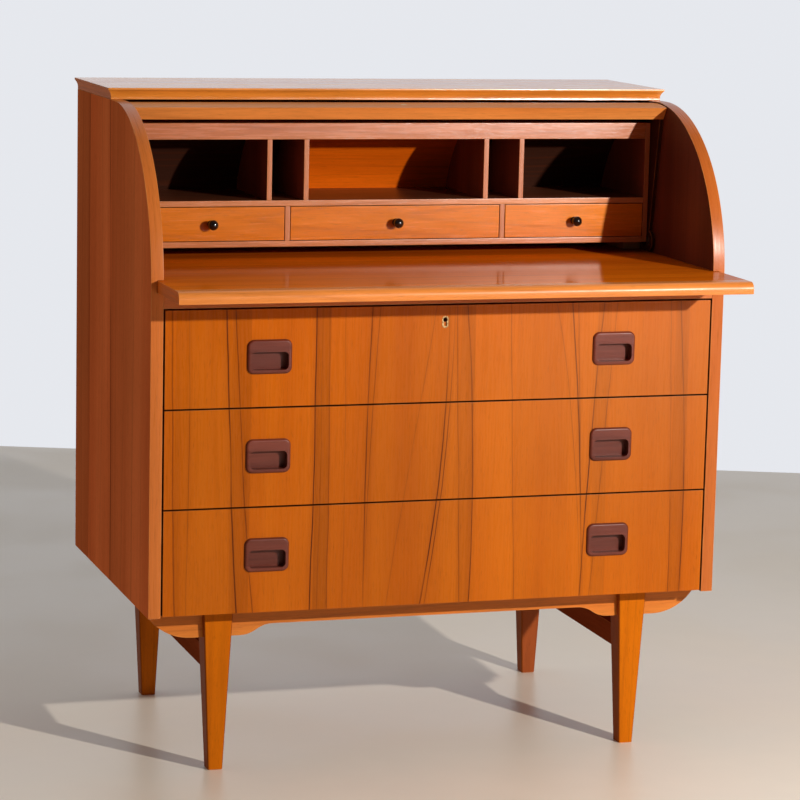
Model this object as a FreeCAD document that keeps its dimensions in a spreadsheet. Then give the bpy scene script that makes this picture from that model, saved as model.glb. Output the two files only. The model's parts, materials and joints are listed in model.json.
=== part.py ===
# Cylinder desk: a teak writing desk with a turning quarter-round lid, a pull-out slab,
# a pigeonhole unit, three large drawers and a leg frame. Millimetres, +Z up.
# The origin is on the floor, at the middle of the desk with its slab pulled out.
import FreeCAD, Part
import Sketcher
import math
import os
import re

# Driving dimensions: alias, value, what it is. Lengths in millimetres, angles in degrees.
SIZES = [
    ("case_width", 900, "case, over the gables"),
    ("case_depth", 530, "case, front edge of the gables to the back"),
    ("leg_height", 250, "floor to the underside of the case"),
    ("gable_thick", 19, "gable thickness"),
    ("gable_radius", 252, "curve of the gables"),
    ("back_thick", 8, "back panel thickness"),
    ("bottom_thick", 16, "bottom board thickness"),
    ("overrun", 5, "how far a cutting solid runs past a face"),
    ("slide_gap", 0.3, "running gap of wooden slides"),
    ("top_thick", 18, "top board thickness"),
    ("top_front", 282, "case front to the top board's underside"),
    ("top_overhang", 5, "top board's lip beyond its underside"),
    ("top_lip", 3, "thickness of that lip"),
    ("top_cove", 16, "radius of the hollow under the lip"),
    ("rail_height", 23.1, "front rail between drawers and slab"),
    ("rail_depth", 60, "front rail, front to back"),
    ("front_height_1", 145.4, "upper drawer front"),
    ("front_height_2", 146.4, "middle drawer front"),
    ("front_height_3", 158.4, "lower drawer front"),
    ("front_gap", 2.6, "gap round a drawer front"),
    ("front_thick", 18, "drawer front thickness"),
    ("slab_thick", 18, "writing slab thickness"),
    ("slab_lid_gap", 88, "slab's back edge to the open lid"),
    ("slab_reach", 132, "slab's nose in front of the case"),
    ("slab_nose", 11, "rounding of the slab's front edge"),
    ("slab_groove", 10, "depth of the slab's grooves in the gables"),
    ("slab_side_gap", 0.5, "slab end to groove floor"),
    ("slab_travel", 117, "slab's way in"),
    ("groove_room", 8, "end of a groove behind the pushed-in slab"),
    ("lid_radius", 221, "outside of the lid"),
    ("lid_thick", 8, "curved lid panel thickness"),
    ("lid_rail_thick", 21, "lid rail, measured along the radius"),
    ("lid_rail_height", 45, "lid rail, shut lid"),
    ("lid_bevel", 11, "rise of the bevel under the lid rail"),
    ("lid_span", 106, "angle of the lid, level to rear edge, shut"),
    ("lid_swing", 83, "turn of the lid from open to shut"),
    ("lid_seat", 0.8, "shut lid above the slab"),
    ("lid_clear", 2, "lid below the top board"),
    ("lid_setback", 250, "case front to the lid's pivots"),
    ("pivot_rise", 19, "pivots above the slab's top"),
    ("side_gap", 0.7, "lid to gable"),
    ("cheek_thick", 6, "lid cheek thickness"),
    ("cheek_span", 80, "angle of a cheek"),
    ("hub_radius", 16, "cheek's round end at the pivot"),
    ("bush_radius", 7, "pivot bush, outside"),
    ("pin_radius", 4, "pivot pin"),
    ("pin_play", 0.05, "pin to bush, on the radius"),
    ("pin_seat", 12, "pin's depth in the gable"),
    ("lid_liner_radius", 5, "keyhole liner in the lid rail"),
    ("lid_liner_thick", 2, "thickness of that liner"),
    ("lid_liner_rise", 22, "liner above the lid rail's lower edge"),
    ("unit_front", 254, "case front to the pigeonhole unit"),
    ("unit_gap", 1, "unit to lid cheek"),
    ("unit_panel", 8, "unit's side and fascia thickness"),
    ("unit_radius", 204, "inside of the unit's curved back"),
    ("unit_back_thick", 4, "unit's back thickness"),
    ("unit_rise", 17, "unit's underside above the slab"),
    ("unit_bottom_thick", 9, "unit's bottom board"),
    ("bay_height", 54, "small drawers' opening"),
    ("shelf_thick", 9, "shelf over the small drawers"),
    ("hole_height", 94, "pigeonholes, shelf to fascia"),
    ("fascia_height", 25, "fascia over the pigeonholes"),
    ("unit_top_thick", 8, "unit's top board"),
    ("divider_thick", 8, "pigeonhole divider"),
    ("near_divider_place", 147, "inner dividers from the middle"),
    ("far_divider_place", 206, "outer dividers from the middle"),
    ("partition_thick", 8, "board between small drawers"),
    ("partition_place", 176, "partitions from the middle"),
    ("bearer_gap", 1, "unit bearer above the slab"),
    ("bearer_width", 30, "unit bearer, along the case"),
    ("bearer_front", 300, "case front to the unit bearers"),
    ("bearer_length", 140, "unit bearer, front to back"),
    ("small_gap", 1, "gap round a small drawer front"),
    ("small_front_thick", 10, "small drawer front"),
    ("small_depth", 168, "small drawer, front to back"),
    ("small_side", 6, "small drawer's sides and back"),
    ("small_bottom", 3, "small drawer's bottom"),
    ("knob_radius", 8, "knob's ball"),
    ("knob_reach", 21, "knob in front of its drawer"),
    ("knob_neck", 3.5, "knob's neck radius"),
    ("knob_foot", 5.5, "knob's foot radius"),
    ("knob_foot_thick", 1.5, "knob's foot thickness"),
    ("box_gap", 1, "drawer side to gable"),
    ("box_side", 12, "drawer's sides and back"),
    ("box_height", 110, "drawer's sides"),
    ("box_rise", 16, "drawer sides above the front's lower edge"),
    ("box_depth", 480, "drawer, front face to back"),
    ("box_bottom", 4, "drawer's bottom panel"),
    ("box_bottom_lift", 8, "bottom panel above the sides' edge"),
    ("box_tongue", 5, "bottom panel's edge in its groove"),
    ("runner_reach", 8, "drawer runner, out from the gable"),
    ("runner_height", 12, "drawer runner"),
    ("runner_front", 30, "case front to a runner"),
    ("runner_length", 440, "drawer runner"),
    ("runner_lift", 55, "runner above the drawer sides' edge"),
    ("runner_play", 0.5, "runner to the floor of its groove"),
    ("pull_width", 68, "recessed pull"),
    ("pull_height", 51, "recessed pull"),
    ("pull_corner", 10, "pull's corner radius"),
    ("pull_place", 271, "pulls from the middle"),
    ("pull_drop", 71, "pull's middle below the front's top"),
    ("pull_proud", 4, "pull's face in front of the drawer's face"),
    ("cup_width", 57, "finger cup in the pull"),
    ("cup_height", 27, "finger cup"),
    ("cup_corner", 7, "finger cup's corner radius"),
    ("cup_lift", 6, "cup above the pull's lower edge"),
    ("cup_depth", 13, "finger cup"),
    ("lip_thick", 4.5, "pull's lip over the cup"),
    ("lip_undercut", 9, "room for the fingers behind the lip"),
    ("lock_drop", 25, "keyhole below the drawer's top edge"),
    ("liner_width", 10, "keyhole liner"),
    ("liner_height", 18, "keyhole liner"),
    ("liner_corner", 4.5, "keyhole liner's corner radius"),
    ("liner_thick", 2, "keyhole liner"),
    ("keyhole_radius", 3.3, "round of the keyhole"),
    ("keyhole_rise", 3.2, "that round above the liner's middle"),
    ("keyhole_slot", 4.2, "width of the keyhole's slot"),
    ("keyhole_length", 9.5, "keyhole's slot below its round"),
    ("lock_width", 40, "lock case"),
    ("lock_height", 38, "lock case"),
    ("lock_depth", 12, "lock case"),
    ("lock_top_gap", 2, "lock case below the drawer's top edge"),
    ("bolt_width", 18, "lock bolt"),
    ("bolt_height", 16, "lock bolt"),
    ("bolt_thick", 5, "lock bolt"),
    ("bolt_setback", 3, "drawer front to the bolt"),
    ("strike_gap", 1, "bolt to its mortise in the rail"),
    ("strike_depth", 12, "mortise in the rail"),
    ("leg_top_width", 46, "leg at the case"),
    ("leg_top_depth", 42, "leg at the case, front to back"),
    ("leg_foot_width", 23, "leg at the floor"),
    ("leg_foot_depth", 25, "leg at the floor, front to back"),
    ("leg_round", 3, "rounding of a leg's edges"),
    ("leg_inset", 117, "legs' middle in from the case's side"),
    ("front_leg_setback", 60, "case front to the front legs' middle"),
    ("rear_leg_setback", 22, "case back to the rear legs' middle"),
    ("apron_thick", 18, "apron under the case"),
    ("apron_height", 44, "apron at the legs"),
    ("apron_waist", 28, "apron between the legs"),
    ("apron_inset", 8, "apron's ends in from the case's sides"),
    ("apron_tip", 4, "apron's height at its ends"),
    ("apron_outer_flat", 39, "apron's straight stretch outside a leg's middle"),
    ("apron_inner_flat", 37, "the same, inside it"),
    ("apron_step", 50, "length of the curve up to the waist"),
    ("stretcher_thick", 18, "side stretcher"),
    ("stretcher_height", 34, "side stretcher"),
    ("stretcher_low", 147, "floor to a side stretcher"),
]

# Places worked out from those sizes.
PLACES = {
    "front": "(slab_reach - case_depth) / 2",
    "back": "front + case_depth",
    "side": "case_width / 2",
    "inner": "side - gable_thick",
    "leg_place": "side - leg_inset",
    "apron_reach": "side - apron_inset",
    "apron_land": "leg_place + apron_outer_flat",
    "apron_knee": "leg_place - apron_inner_flat",
    "front_leg": "front + front_leg_setback",
    "rear_leg": "back - rear_leg_setback",
    "low_3": "leg_height + front_gap",
    "top_3": "low_3 + front_height_3",
    "low_2": "top_3 + front_gap",
    "top_2": "low_2 + front_height_2",
    "low_1": "top_2 + front_gap",
    "top_1": "low_1 + front_height_1",
    "rail_low": "top_1 + front_gap",
    "slab_low": "rail_low + rail_height + slide_gap",
    "slab_top": "slab_low + slab_thick",
    "slab_back": "pivot_y + lid_inside - slab_lid_gap",
    "pivot_y": "front + lid_setback",
    "pivot_z": "slab_top + pivot_rise",
    "gable_top": "pivot_z + lid_radius + lid_clear",
    "desk_top": "gable_top + top_thick",
    "front_inside": "front + front_thick",
    "lid_end": "inner - side_gap",
    "cheek_inner": "lid_end - cheek_thick",
    "unit_side": "cheek_inner - unit_gap",
    "unit_inner": "unit_side - unit_panel",
    "unit_y": "front + unit_front",
    "unit_low": "slab_top + unit_rise",
    "bay_low": "unit_low + unit_bottom_thick",
    "shelf_low": "bay_low + bay_height",
    "shelf_top": "shelf_low + shelf_thick",
    "fascia_low": "shelf_top + hole_height",
    "unit_high": "fascia_low + fascia_height",
    "unit_ceiling": "unit_high - unit_top_thick",
    "box_outer": "inner - box_gap",
    "box_inner": "box_outer - box_side",
    "lock_top": "top_1 - lock_top_gap",
    "bolt_front": "front_inside + bolt_setback",
    "lid_inside": "lid_radius - lid_thick",
    "rail_inside": "lid_radius - lid_rail_thick",
    "lid_foot": "lid_seat - pivot_rise",
    "lid_heel": "lid_foot + lid_bevel",
    "lid_joint": "lid_foot + lid_rail_height",
}

doc = FreeCAD.newDocument("cylinder_desk")
sheet = doc.addObject("Spreadsheet::Sheet", "Sheet")
for row, (alias, size, words) in enumerate(SIZES, start=1):
    sheet.set(f"A{row}", words)
    sheet.set(f"B{row}", str(size))
    sheet.setAlias(f"B{row}", alias)
doc.recompute()
gauge = doc.addObject("App::FeaturePython", "Gauge")
gauge.addProperty("App::PropertyFloat", "Reading")
ALIASES = {alias for alias, size, words in SIZES}
PARTS = []


def bound(text):
    """A sum in aliases and places, as an expression on the sheet."""
    def spelled(match):
        word = match.group()
        if word in ALIASES:
            return "Sheet." + word
        if word in PLACES:
            return "(" + bound(PLACES[word]) + ")"
        return word
    return re.sub(r"[a-z_]\w*", spelled, text)


def value(text):
    """What a sum comes to now."""
    gauge.setExpression("Reading", bound(text))
    gauge.recompute()
    return float(gauge.Reading)


def bind(item, sums):
    for prop, text in sums.items():
        item.setExpression(prop, bound(text))


def place(item, x="0", y="0", z="0"):
    bind(item, {"Placement.Base.x": x, "Placement.Base.y": y, "Placement.Base.z": z})


def board(name, x, y, z):
    """A board between two places on each axis."""
    item = doc.addObject("Part::Box", name)
    bind(item, {
        "Length": f"({x[1]}) - ({x[0]})",
        "Width": f"({y[1]}) - ({y[0]})",
        "Height": f"({z[1]}) - ({z[0]})",
    })
    place(item, x[0], y[0], z[0])
    return item


def rod(name, radius, x, y, z):
    """A round bar along X, or along Y where y is the pair."""
    along_x = isinstance(x, tuple)
    low, high = x if along_x else y
    item = doc.addObject("Part::Cylinder", name)
    turn = FreeCAD.Vector(0, 1, 0) if along_x else FreeCAD.Vector(1, 0, 0)
    item.Placement = FreeCAD.Placement(FreeCAD.Vector(), FreeCAD.Rotation(turn, 90))
    bind(item, {"Radius": radius, "Height": f"({high}) - ({low})"})
    if along_x:
        place(item, low, y, z)
    else:
        place(item, x, high, z)
    return item


def arc_between(start, end, radius):
    """The short arc between two points; a negative radius turns clockwise."""
    middle = (start + end) / 2
    chord = end - start
    left = FreeCAD.Vector(-chord.y, chord.x, 0).normalize()
    rise = math.sqrt(radius * radius - chord.Length * chord.Length / 4)
    centre = middle + left * math.copysign(rise, radius)
    circle = Part.Circle(centre, FreeCAD.Vector(0, 0, 1), abs(radius))
    first, last = (start, end) if radius > 0 else (end, start)
    return Part.ArcOfCircle(circle, circle.parameter(first), circle.parameter(last))


def profile(name, plane, corners, low, high):
    """An outline padded from low to high across its plane.

    A corner is (u, v), or (u, v, radius) where an arc runs on to the next corner.
    """
    body = doc.addObject("PartDesign::Body", name)
    sketch = body.newObject("Sketcher::SketchObject", name + "_outline")
    base = [item for item in body.Origin.OriginFeatures if item.Role == plane + "_Plane"]
    sketch.AttachmentSupport = [(base[0], "")]
    sketch.MapMode = "FlatFace"
    points = [FreeCAD.Vector(value(c[0]), value(c[1]), 0) for c in corners]
    count = len(corners)
    starts = []
    for i, corner in enumerate(corners):
        following = points[(i + 1) % count]
        if len(corner) == 2:
            sketch.addGeometry(Part.LineSegment(points[i], following))
            starts.append(1)
        else:
            radius = value(corner[2])
            sketch.addGeometry(arc_between(points[i], following, radius))
            starts.append(1 if radius > 0 else 2)
    for i in range(count):
        after = (i + 1) % count
        link = Sketcher.Constraint("Coincident", i, 3 - starts[i], after, starts[after])
        sketch.addConstraint(link)
    for i, corner in enumerate(corners):
        ways = (("DistanceX", corner[0], points[i].x), ("DistanceY", corner[1], points[i].y))
        for kind, text, now in ways:
            index = sketch.addConstraint(Sketcher.Constraint(kind, -1, 1, i, starts[i], now))
            sketch.setExpression(f"Constraints[{index}]", bound(text))
        if len(corner) == 3:
            radius = abs(value(corner[2]))
            index = sketch.addConstraint(Sketcher.Constraint("Radius", i, radius))
            sketch.setExpression(f"Constraints[{index}]", f"abs({bound(corner[2])})")
    offset = f"-({high})" if plane == "XZ" else low
    bind(sketch, {"AttachmentOffset.Base.z": offset})
    pad = body.newObject("PartDesign::Pad", name + "_pad")
    pad.Profile = sketch
    bind(pad, {"Length": f"({high}) - ({low})"})
    return body


def rounded(x, z, width, height, corner):
    """Corners of a rounded rectangle about (x, z), counterclockwise."""
    left, right = f"{x} - {width}/2", f"{x} + {width}/2"
    low, high = f"{z} - {height}/2", f"{z} + {height}/2"
    return [
        (f"{left} + {corner}", low), (f"{right} - {corner}", low, corner),
        (right, f"{low} + {corner}"), (right, f"{high} - {corner}", corner),
        (f"{right} - {corner}", high), (f"{left} + {corner}", high, corner),
        (left, f"{high} - {corner}"), (left, f"{low} + {corner}", corner),
    ]


def joined(name, items):
    item = doc.addObject("Part::MultiFuse", name)
    item.Shapes = items
    return item


def cut(name, base, *tools):
    item = doc.addObject("Part::Cut", name)
    item.Base = base
    item.Tool = tools[0] if len(tools) == 1 else joined(name + "_cuts", list(tools))
    return item


def group(name, items):
    """Separate solids that share one node."""
    item = doc.addObject("Part::Compound", name)
    item.Links = items
    return item


def part(label, item):
    """Keep an item as the sub-part of that name."""
    item.Label = label
    PARTS.append(item)
    return item


def sided(sign, near, far):
    """Two places on X, for the right side or mirrored to the left."""
    return (near, far) if sign > 0 else (f"-({far})", f"-({near})")


SIDES = (("left", -1), ("right", 1))


def on_arc(radius, z):
    """Y of a circle about the pivots, behind them, at height z."""
    return f"pivot_y + sqrt(({radius})^2 - ({z} - pivot_z)^2)"


def gables():
    outline = [
        ("front", "leg_height"), ("back", "leg_height"), ("back", "gable_top"),
        ("front + gable_radius", "gable_top", "gable_radius"),
        ("front", "gable_top - gable_radius"),
    ]
    for name, sign in SIDES:
        low, high = sided(sign, "inner", "side")
        blank = profile(name + "_gable_blank", "YZ", outline, low, high)
        groove = board(name + "_slab_groove", sided(sign, "inner - overrun", "inner + slab_groove"),
                       ("front - overrun", "slab_back + slab_travel + groove_room"),
                       ("slab_low - slide_gap", "slab_top + slide_gap"))
        pin_hole = rod(name + "_pin_hole", "pin_radius",
                       sided(sign, "inner - overrun", "inner + pin_seat"), "pivot_y", "pivot_z")
        part(name + "_gable", cut(name + "_gable_cut", blank, groove, pin_hole))


def top_board():
    tip = "front + top_front - top_overhang"
    long_section = profile("top_board_front", "YZ", [
        ("front + top_front", "gable_top"), ("back", "gable_top"), ("back", "desk_top"),
        (tip, "desk_top"), (tip, "desk_top - top_lip", "-top_cove"),
    ], "-side - top_overhang", "side + top_overhang")
    cross_section = profile("top_board_ends", "XZ", [
        ("-side", "gable_top"), ("side", "gable_top", "-top_cove"),
        ("side + top_overhang", "desk_top - top_lip"), ("side + top_overhang", "desk_top"),
        ("-side - top_overhang", "desk_top"),
        ("-side - top_overhang", "desk_top - top_lip", "-top_cove"),
    ], tip, "back")
    both = doc.addObject("Part::Common", "top_board_common")
    both.Base = long_section
    both.Tool = cross_section
    part("top_board", both)


def carcass():
    across = ("-inner", "inner")
    part("back_panel", board("back", across, ("back - back_thick", "back"),
                             ("leg_height", "gable_top")))
    part("bottom_board", board("bottom", across, ("front_inside + front_gap", "back - back_thick"),
                               ("leg_height", "leg_height + bottom_thick")))
    rail = board("rail", across, ("front", "front + rail_depth"), ("rail_low", "rail_low + rail_height"))
    mortise = board("strike", ("-bolt_width/2 - strike_gap", "bolt_width/2 + strike_gap"),
                    ("bolt_front - strike_gap", "bolt_front + bolt_thick + strike_gap"),
                    ("rail_low - overrun", "rail_low + strike_depth"))
    part("front_rail", cut("rail_cut", rail, mortise))
    runners = []
    for number in (1, 2, 3):
        for name, sign in SIDES:
            low = f"low_{number} + box_rise + runner_lift"
            runners.append(board(f"runner_{name}_{number}", sided(sign, "inner - runner_reach", "inner"),
                                 ("front + runner_front", "front + runner_front + runner_length"),
                                 (low, f"{low} + runner_height")))
    part("drawer_runners", group("runners", runners))
    bearers = [board(name + "_bearer", sided(sign, "inner - bearer_width", "inner"),
                     ("front + bearer_front", "front + bearer_front + bearer_length"),
                     ("slab_top + bearer_gap", "unit_low")) for name, sign in SIDES]
    part("unit_bearers", group("bearers", bearers))
    pins = [rod(name + "_pin", "pin_radius", sided(sign, "cheek_inner", "inner + pin_seat"),
                "pivot_y", "pivot_z") for name, sign in SIDES]
    part("lid_pivot_pins", group("pins", pins))


def apron(label, middle):
    """A board under the case, deep at the legs and curved up to its ends and its waist."""
    half_step, half_rise = "apron_step/2", "(apron_height - apron_waist)/2"
    turn = f"(({half_step})^2 + ({half_rise})^2) / (2 * {half_rise})"
    end_rise = "(apron_height - apron_tip)"
    end_run = "(apron_reach - apron_land)"
    sweep = f"({end_run}^2 + {end_rise}^2) / (2 * {end_rise})"
    low, waist = "leg_height - apron_height", "leg_height - apron_waist"
    tip = "leg_height - apron_tip"
    right = [
        ("apron_knee - apron_step", waist, f"-({turn})"),
        ("apron_knee - apron_step/2", f"{low} + {half_rise}", turn),
        ("apron_knee", low), ("apron_land", low, sweep),
        ("apron_reach", tip), ("apron_reach", "leg_height"),
    ]
    left = [
        ("-apron_reach", "leg_height"), ("-apron_reach", tip, sweep),
        ("-apron_land", low), ("-apron_knee", low, turn),
        ("-apron_knee + apron_step/2", f"{low} + {half_rise}", f"-({turn})"),
        ("-apron_knee + apron_step", waist),
    ]
    return part(label, profile(label + "_board", "XZ", right + left,
                               f"{middle} - apron_thick/2", f"{middle} + apron_thick/2"))


def leg_frame():
    rows = (("front", "front_leg"), ("rear", "rear_leg"))
    aprons = {row: apron(row + "_apron", middle) for row, middle in rows}
    for name, sign in SIDES:
        middle = "leg_place" if sign > 0 else "-leg_place"
        stretcher = part(name + "_stretcher", board(
            name + "_stretcher_bar", (f"{middle} - stretcher_thick/2", f"{middle} + stretcher_thick/2"),
            ("front_leg", "rear_leg"),
            ("stretcher_low", "stretcher_low + stretcher_height")))
        for row, y in rows:
            blank = doc.addObject("Part::Wedge", f"{row}_{name}_leg_blank")
            flat = FreeCAD.Rotation(FreeCAD.Vector(1, 0, 0), 90)
            blank.Placement = FreeCAD.Placement(FreeCAD.Vector(), flat)
            bind(blank, {
                "Ymin": "0", "Ymax": "leg_height",
                "Xmin": "-leg_foot_width/2", "Xmax": "leg_foot_width/2",
                "Zmin": "-leg_foot_depth/2", "Zmax": "leg_foot_depth/2",
                "X2min": "-leg_top_width/2", "X2max": "leg_top_width/2",
                "Z2min": "-leg_top_depth/2", "Z2max": "leg_top_depth/2",
            })
            place(blank, middle, y)
            doc.recompute()
            soft = doc.addObject("Part::Fillet", f"{row}_{name}_leg_round")
            soft.Base = blank
            radius = value("leg_round")
            top = value("leg_height")
            soft.Edges = [(i, radius, radius) for i, edge in enumerate(blank.Shape.Edges, start=1)
                          if edge.BoundBox.ZLength > top / 2]
            part(f"{row}_{name}_leg", cut(f"{row}_{name}_leg_cut", soft, aprons[row], stretcher))


def writing_slab():
    nose = "front - slab_reach"
    part("writing_slab", profile("slab", "YZ", [
        (nose, "slab_low"), ("slab_back", "slab_low"), ("slab_back", "slab_top"),
        (f"{nose} + slab_nose", "slab_top", "slab_nose"), (nose, "slab_top - slab_nose"),
    ], "-inner - slab_groove + slab_side_gap", "inner + slab_groove - slab_side_gap"))


def ahead(radius, v):
    """A point of a circle about the pivot, in front of it, at height v above it."""
    return (f"-sqrt(({radius})^2 - ({v})^2)", v)


def at_angle(radius, angle):
    """A point of that circle, by its angle up from the front."""
    return (f"-({radius}) * cos({angle})", f"({radius}) * sin({angle})")


def opened(item):
    """Put a piece of the lid, drawn shut about its pivot, at its open place."""
    item.Placement = FreeCAD.Placement(FreeCAD.Vector(), FreeCAD.Rotation(FreeCAD.Vector(-1, 0, 0), 1))
    bind(item, {"Placement.Rotation.Angle": "lid_swing"})
    place(item, "0", "pivot_y", "pivot_z")
    return item


def lid():
    foot, heel = ahead("lid_radius", "lid_foot"), ahead("rail_inside", "lid_heel")
    rail_end, rail_end_out = ahead("rail_inside", "lid_joint"), ahead("lid_radius", "lid_joint")
    panel_end = ahead("lid_inside", "lid_joint")
    panel_rear = at_angle("lid_inside", "lid_span")
    cheek_rear = at_angle("lid_inside", "cheek_span")
    width = ("-lid_end", "lid_end")
    rail = profile("lid_rail_bar", "YZ", [
        foot, heel + ("-rail_inside",), rail_end, rail_end_out + ("lid_radius",)], *width)
    plug = rod("lid_liner_plug", "lid_liner_radius", "0",
               ("-lid_radius", "-lid_radius + lid_liner_thick"), "lid_foot + lid_liner_rise")
    part("lid_rail", opened(cut("lid_rail_cut", rail, plug)))
    liner = group("lid_liner", [plug])
    part("lid_keyhole_liner", opened(liner))
    part("lid_panel", opened(profile("lid_sheet", "YZ", [
        panel_end + ("-lid_inside",), panel_rear,
        at_angle("lid_radius", "lid_span") + ("lid_radius",), rail_end_out], *width)))
    bushes = []
    for name, sign in SIDES:
        x = sided(sign, "cheek_inner", "lid_end")
        sector = profile(name + "_cheek_sector", "YZ", [
            heel + ("-rail_inside",), rail_end, panel_end + ("-lid_inside",), cheek_rear,
            ("hub_radius", "0"), ("-hub_radius", "0")], *x)
        hub = rod(name + "_cheek_hub", "hub_radius", x, "0", "0")
        seat = rod(name + "_bush_seat", "bush_radius", x, "0", "0")
        bore = rod(name + "_bush_bore", "pin_radius + pin_play", x, "0", "0")
        cheek = cut(name + "_cheek_cut", joined(name + "_cheek_whole", [sector, hub]), seat)
        part(f"lid_{name}_cheek", opened(cheek))
        bushes.append(cut(name + "_bush", seat, bore))
    part("lid_bushes", opened(group("bushes", bushes)))


def pigeonhole_unit():
    bounds = ("unit_y", "unit_low", "unit_high")
    rear_low, rear_high = on_arc("unit_radius", bounds[1]), on_arc("unit_radius", bounds[2])
    for name, sign in SIDES:
        part(f"unit_{name}_side", profile(name + "_unit_board", "YZ", [
            ("unit_y", "unit_low"), (rear_low, "unit_low", "unit_radius"),
            (rear_high, "unit_high"), ("unit_y", "unit_high")],
            *sided(sign, "unit_inner", "unit_side")))
    outside = "unit_radius + unit_back_thick"
    part("unit_back", profile("unit_back_sheet", "YZ", [
        (rear_low, "unit_low"), (on_arc(outside, "unit_low"), "unit_low", outside),
        (on_arc(outside, "unit_high"), "unit_high"), (rear_high, "unit_high", "-unit_radius")],
        "-unit_side", "unit_side"))
    across = ("-unit_inner", "unit_inner")
    behind_fascia = "unit_y + unit_panel"
    part("unit_fascia", board("fascia", across, ("unit_y", behind_fascia), ("fascia_low", "unit_high")))
    part("unit_top", board("unit_lid", across, (behind_fascia, rear_high), ("unit_ceiling", "unit_high")))
    part("unit_shelf", board("shelf", across, ("unit_y", on_arc("unit_radius", "shelf_top")),
                             ("shelf_low", "shelf_top")))
    part("unit_bottom", board("unit_floor", across, ("unit_y", on_arc("unit_radius", "bay_low")),
                              ("unit_low", "bay_low")))
    outline = [
        ("unit_y", "shelf_top"), (on_arc("unit_radius", "shelf_top"), "shelf_top", "unit_radius"),
        (on_arc("unit_radius", "unit_ceiling"), "unit_ceiling"), (behind_fascia, "unit_ceiling"),
        (behind_fascia, "fascia_low"), ("unit_y", "fascia_low"),
    ]
    partitions = []
    for name, sign in SIDES:
        dividers = [profile(f"{name}_{spot}_board", "YZ", outline, *sided(
            sign, f"{spot} - divider_thick/2", f"{spot} + divider_thick/2"))
            for spot in ("near_divider_place", "far_divider_place")]
        part(f"unit_{name}_dividers", group(name + "_dividers", dividers))
        partitions.append(board(name + "_partition", sided(
            sign, "partition_place - partition_thick/2", "partition_place + partition_thick/2"),
            ("unit_y", on_arc("unit_radius", "shelf_low")), ("bay_low", "shelf_low")))
    part("unit_partitions", group("partitions", partitions))


def knob(label, x):
    """A ball on a neck and a foot."""
    z = "(bay_low + shelf_low)/2"
    middle = "unit_y - knob_reach + knob_radius"
    ball = doc.addObject("Part::Sphere", label + "_ball")
    bind(ball, {"Radius": "knob_radius"})
    place(ball, x, middle, z)
    neck = rod(label + "_neck", "knob_neck", x, (middle, "unit_y"), z)
    foot = rod(label + "_foot", "knob_foot", x, ("unit_y - knob_foot_thick", "unit_y"), z)
    part(label, joined(label + "_whole", [ball, neck, foot]))


def small_drawers():
    outer = sided(1, "partition_place + partition_thick/2 + small_gap", "unit_inner - small_gap")
    middle = "partition_place - partition_thick/2 - small_gap"
    spans = {
        "left": sided(-1, *outer),
        "middle": (f"-({middle})", middle),
        "right": outer,
    }
    front_back, rear = "unit_y + small_front_thick", "unit_y + small_depth"
    low, high = "bay_low + slide_gap", "shelf_low - small_side"
    for spot, (x0, x1) in spans.items():
        name = f"{spot}_small_drawer"
        part(name + "_front", board(name + "_face", (x0, x1), ("unit_y", front_back),
                                    ("bay_low + small_gap", "shelf_low - small_gap")))
        inside = (f"{x0} + small_side", f"{x1} - small_side")
        boards = [
            board(name + "_near_side", (x0, inside[0]), (front_back, rear), (low, high)),
            board(name + "_far_side", (inside[1], x1), (front_back, rear), (low, high)),
            board(name + "_end", inside, (f"{rear} - small_side", rear), (low, high)),
            board(name + "_floor", inside, (front_back, f"{rear} - small_side"),
                  (low, f"{low} + small_bottom")),
        ]
        part(name + "_box", group(name + "_boards", boards))
        knob(name + "_knob", f"(({x0}) + ({x1}))/2")


def pull(name, x, z):
    """A recessed pull: a plate with a finger cup under a lip. Returns it and the hole it fills."""
    face = "front - pull_proud"
    outline = rounded(x, z, "pull_width", "pull_height", "pull_corner")
    plate = profile(name + "_plate", "XZ", outline, face, "front_inside")
    hole = profile(name + "_hole", "XZ", outline, "front - overrun", "front_inside + overrun")
    cup_middle = f"({z}) - pull_height/2 + cup_lift + cup_height/2"
    mouth = profile(name + "_mouth", "XZ", rounded(x, cup_middle, "cup_width", "cup_height", "cup_corner"),
                    f"{face} - overrun", f"{face} + cup_depth")
    pocket = profile(name + "_pocket", "XZ", rounded(
        x, f"{cup_middle} + lip_undercut/2", "cup_width", "(cup_height + lip_undercut)", "cup_corner"),
        f"{face} + lip_thick", f"{face} + cup_depth")
    return cut(name, plate, mouth, pocket), hole


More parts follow.
